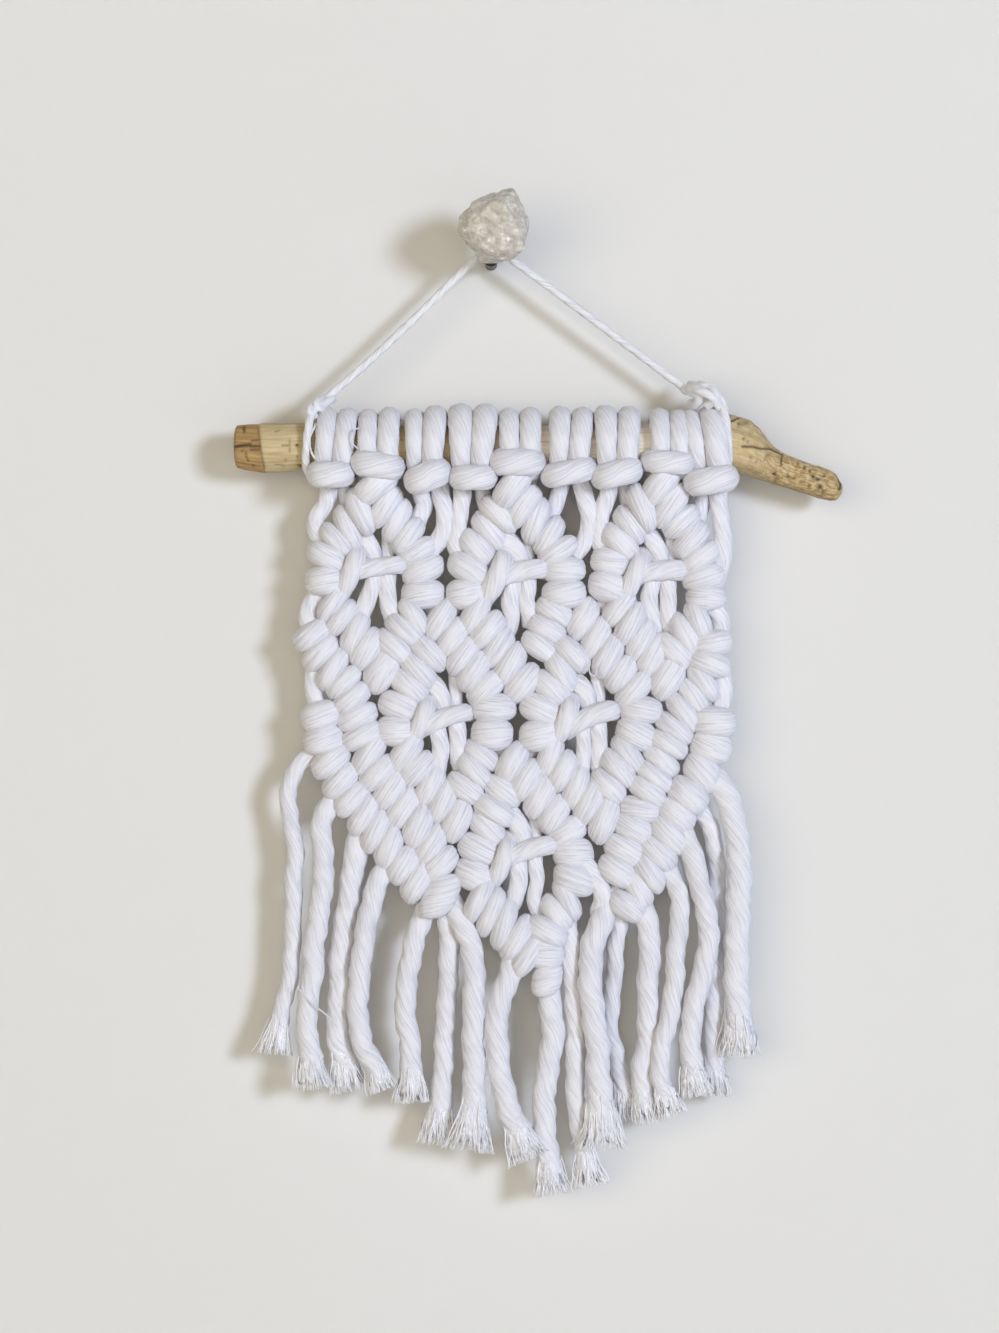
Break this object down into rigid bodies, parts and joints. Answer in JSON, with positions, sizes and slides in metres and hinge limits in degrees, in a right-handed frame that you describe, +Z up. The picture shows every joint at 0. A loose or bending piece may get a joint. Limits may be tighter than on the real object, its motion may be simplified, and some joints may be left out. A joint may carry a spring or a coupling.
{
  "type": "macrame wall hanging on a driftwood branch with a quartz knob hook",
  "caption": "Small knotted cotton wall hanging with open diamonds and a pointed fringed edge, on a driftwood branch hung by a thin cord from a wall hook with a rough crystal knob",
  "frame": {"origin": "the middle of the hook stem's end, where it meets the wall", "axes": "+X right along the branch, +Z up, the front faces -Y, the wall is the plane Y = 0"},
  "size_m": [0.2447, 0.05, 0.3994],
  "materials": {
    "cotton_cord": "soft single-strand cotton, matte",
    "hanger_cotton": "thin twisted cotton, matte",
    "driftwood": "weathered bare wood, matte",
    "dark_metal": "dark, satin",
    "rough_quartz": "cloudy, broken facets"
  },
  "bodies": {
    "root": {"driftwood_branch": "driftwood", "knotted_panel": "cotton_cord", "fringe_left": "cotton_cord", "fringe_point": "cotton_cord", "fringe_right": "cotton_cord", "hanger_cord": "hanger_cotton", "hanger_knot_left": "hanger_cotton", "hanger_knot_right": "hanger_cotton", "hook_stem": "dark_metal", "quartz_knob": "rough_quartz"}
  },
  "joints": []
}
